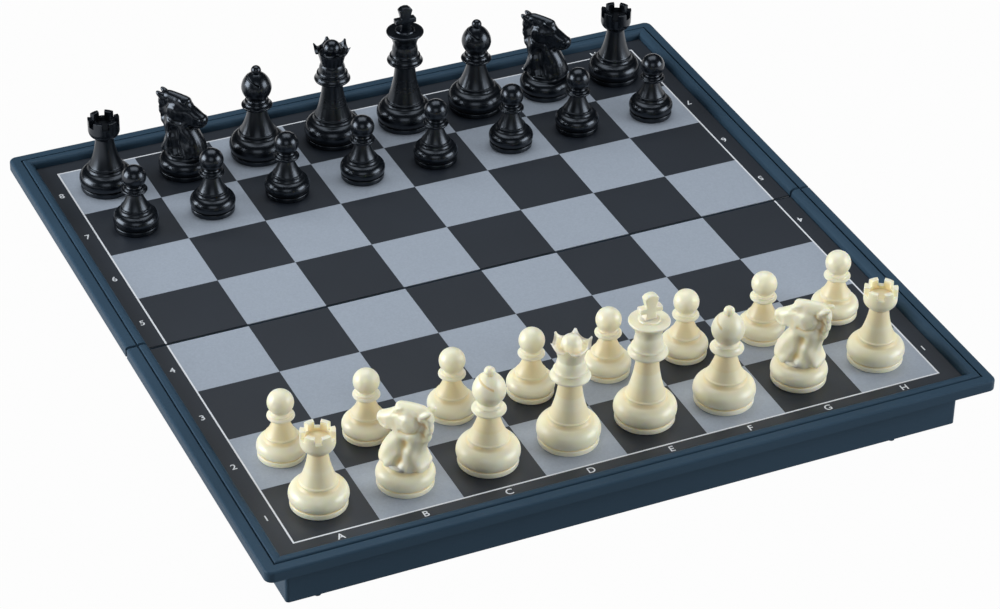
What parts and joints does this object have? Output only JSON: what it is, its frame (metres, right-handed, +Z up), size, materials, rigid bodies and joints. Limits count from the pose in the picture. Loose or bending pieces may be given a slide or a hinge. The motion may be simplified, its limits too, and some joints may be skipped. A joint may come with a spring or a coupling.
{
  "type": "folding chess set",
  "caption": "Folding magnetic travel chess set: two hinged tray-shaped case halves with a printed board on top and turned chessmen standing on it.",
  "frame": {"origin": "on the table, under the middle of the open board", "axes": "+X from file a to file h along the fold, +Y from white's side to black's, +Z up"},
  "size_m": [0.3246, 0.3256, 0.086],
  "materials": {
    "case_plastic": "navy slate moulded plastic, low sheen",
    "printed_sheet": "printed satin film: silver grey and black squares with white lines and letters",
    "steel": "plain sheet steel",
    "ivory_plastic": "ivory moulded plastic, soft gloss",
    "black_plastic": "black moulded plastic, gloss"
  },
  "bodies": {
    "rear_half": {"rear_case_half": "case_plastic", "rear_steel_plate": "steel", "rear_board_sheet": "printed_sheet", "hinge_pin_left": "steel", "hinge_pin_right": "steel"},
    "front_half": {"front_case_half": "case_plastic", "front_steel_plate": "steel", "front_board_sheet": "printed_sheet"},
    "white_rook_a": {"white_rook_a": "ivory_plastic"},
    "white_knight_b": {"white_knight_b": "ivory_plastic"},
    "white_bishop_c": {"white_bishop_c": "ivory_plastic"},
    "white_queen_d": {"white_queen_d": "ivory_plastic"},
    "white_king_e": {"white_king_e": "ivory_plastic"},
    "white_bishop_f": {"white_bishop_f": "ivory_plastic"},
    "white_knight_g": {"white_knight_g": "ivory_plastic"},
    "white_rook_h": {"white_rook_h": "ivory_plastic"},
    "white_pawn_a": {"white_pawn_a": "ivory_plastic"},
    "white_pawn_b": {"white_pawn_b": "ivory_plastic"},
    "white_pawn_c": {"white_pawn_c": "ivory_plastic"},
    "white_pawn_d": {"white_pawn_d": "ivory_plastic"},
    "white_pawn_e": {"white_pawn_e": "ivory_plastic"},
    "white_pawn_f": {"white_pawn_f": "ivory_plastic"},
    "white_pawn_g": {"white_pawn_g": "ivory_plastic"},
    "white_pawn_h": {"white_pawn_h": "ivory_plastic"},
    "black_rook_a": {"black_rook_a": "black_plastic"},
    "black_knight_b": {"black_knight_b": "black_plastic"},
    "black_bishop_c": {"black_bishop_c": "black_plastic"},
    "black_queen_d": {"black_queen_d": "black_plastic"},
    "black_king_e": {"black_king_e": "black_plastic"},
    "black_bishop_f": {"black_bishop_f": "black_plastic"},
    "black_knight_g": {"black_knight_g": "black_plastic"},
    "black_rook_h": {"black_rook_h": "black_plastic"},
    "black_pawn_a": {"black_pawn_a": "black_plastic"},
    "black_pawn_b": {"black_pawn_b": "black_plastic"},
    "black_pawn_c": {"black_pawn_c": "black_plastic"},
    "black_pawn_d": {"black_pawn_d": "black_plastic"},
    "black_pawn_e": {"black_pawn_e": "black_plastic"},
    "black_pawn_f": {"black_pawn_f": "black_plastic"},
    "black_pawn_g": {"black_pawn_g": "black_plastic"},
    "black_pawn_h": {"black_pawn_h": "black_plastic"}
  },
  "joints": [
    {"name": "fold", "type": "hinge", "parent": "rear_half", "child": "front_half", "pos_m": [0, 0, 0.0018], "axis": [1, 0, 0], "range_deg": [0, 180]},
    {"name": "white_rook_a_lift", "type": "slide", "parent": "front_half", "child": "white_rook_a", "axis": [0, 0, 1], "range_m": [0, 0.1]},
    {"name": "white_knight_b_lift", "type": "slide", "parent": "front_half", "child": "white_knight_b", "axis": [0, 0, 1], "range_m": [0, 0.1]},
    {"name": "white_bishop_c_lift", "type": "slide", "parent": "front_half", "child": "white_bishop_c", "axis": [0, 0, 1], "range_m": [0, 0.1]},
    {"name": "white_queen_d_lift", "type": "slide", "parent": "front_half", "child": "white_queen_d", "axis": [0, 0, 1], "range_m": [0, 0.1]},
    {"name": "white_king_e_lift", "type": "slide", "parent": "front_half", "child": "white_king_e", "axis": [0, 0, 1], "range_m": [0, 0.1]},
    {"name": "white_bishop_f_lift", "type": "slide", "parent": "front_half", "child": "white_bishop_f", "axis": [0, 0, 1], "range_m": [0, 0.1]},
    {"name": "white_knight_g_lift", "type": "slide", "parent": "front_half", "child": "white_knight_g", "axis": [0, 0, 1], "range_m": [0, 0.1]},
    {"name": "white_rook_h_lift", "type": "slide", "parent": "front_half", "child": "white_rook_h", "axis": [0, 0, 1], "range_m": [0, 0.1]},
    {"name": "white_pawn_a_lift", "type": "slide", "parent": "front_half", "child": "white_pawn_a", "axis": [0, 0, 1], "range_m": [0, 0.1]},
    {"name": "white_pawn_b_lift", "type": "slide", "parent": "front_half", "child": "white_pawn_b", "axis": [0, 0, 1], "range_m": [0, 0.1]},
    {"name": "white_pawn_c_lift", "type": "slide", "parent": "front_half", "child": "white_pawn_c", "axis": [0, 0, 1], "range_m": [0, 0.1]},
    {"name": "white_pawn_d_lift", "type": "slide", "parent": "front_half", "child": "white_pawn_d", "axis": [0, 0, 1], "range_m": [0, 0.1]},
    {"name": "white_pawn_e_lift", "type": "slide", "parent": "front_half", "child": "white_pawn_e", "axis": [0, 0, 1], "range_m": [0, 0.1]},
    {"name": "white_pawn_f_lift", "type": "slide", "parent": "front_half", "child": "white_pawn_f", "axis": [0, 0, 1], "range_m": [0, 0.1]},
    {"name": "white_pawn_g_lift", "type": "slide", "parent": "front_half", "child": "white_pawn_g", "axis": [0, 0, 1], "range_m": [0, 0.1]},
    {"name": "white_pawn_h_lift", "type": "slide", "parent": "front_half", "child": "white_pawn_h", "axis": [0, 0, 1], "range_m": [0, 0.1]},
    {"name": "black_rook_a_lift", "type": "slide", "parent": "rear_half", "child": "black_rook_a", "axis": [0, 0, 1], "range_m": [0, 0.1]},
    {"name": "black_knight_b_lift", "type": "slide", "parent": "rear_half", "child": "black_knight_b", "axis": [0, 0, 1], "range_m": [0, 0.1]},
    {"name": "black_bishop_c_lift", "type": "slide", "parent": "rear_half", "child": "black_bishop_c", "axis": [0, 0, 1], "range_m": [0, 0.1]},
    {"name": "black_queen_d_lift", "type": "slide", "parent": "rear_half", "child": "black_queen_d", "axis": [0, 0, 1], "range_m": [0, 0.1]},
    {"name": "black_king_e_lift", "type": "slide", "parent": "rear_half", "child": "black_king_e", "axis": [0, 0, 1], "range_m": [0, 0.1]},
    {"name": "black_bishop_f_lift", "type": "slide", "parent": "rear_half", "child": "black_bishop_f", "axis": [0, 0, 1], "range_m": [0, 0.1]},
    {"name": "black_knight_g_lift", "type": "slide", "parent": "rear_half", "child": "black_knight_g", "axis": [0, 0, 1], "range_m": [0, 0.1]},
    {"name": "black_rook_h_lift", "type": "slide", "parent": "rear_half", "child": "black_rook_h", "axis": [0, 0, 1], "range_m": [0, 0.1]},
    {"name": "black_pawn_a_lift", "type": "slide", "parent": "rear_half", "child": "black_pawn_a", "axis": [0, 0, 1], "range_m": [0, 0.1]},
    {"name": "black_pawn_b_lift", "type": "slide", "parent": "rear_half", "child": "black_pawn_b", "axis": [0, 0, 1], "range_m": [0, 0.1]},
    {"name": "black_pawn_c_lift", "type": "slide", "parent": "rear_half", "child": "black_pawn_c", "axis": [0, 0, 1], "range_m": [0, 0.1]},
    {"name": "black_pawn_d_lift", "type": "slide", "parent": "rear_half", "child": "black_pawn_d", "axis": [0, 0, 1], "range_m": [0, 0.1]},
    {"name": "black_pawn_e_lift", "type": "slide", "parent": "rear_half", "child": "black_pawn_e", "axis": [0, 0, 1], "range_m": [0, 0.1]},
    {"name": "black_pawn_f_lift", "type": "slide", "parent": "rear_half", "child": "black_pawn_f", "axis": [0, 0, 1], "range_m": [0, 0.1]},
    {"name": "black_pawn_g_lift", "type": "slide", "parent": "rear_half", "child": "black_pawn_g", "axis": [0, 0, 1], "range_m": [0, 0.1]},
    {"name": "black_pawn_h_lift", "type": "slide", "parent": "rear_half", "child": "black_pawn_h", "axis": [0, 0, 1], "range_m": [0, 0.1]}
  ]
}
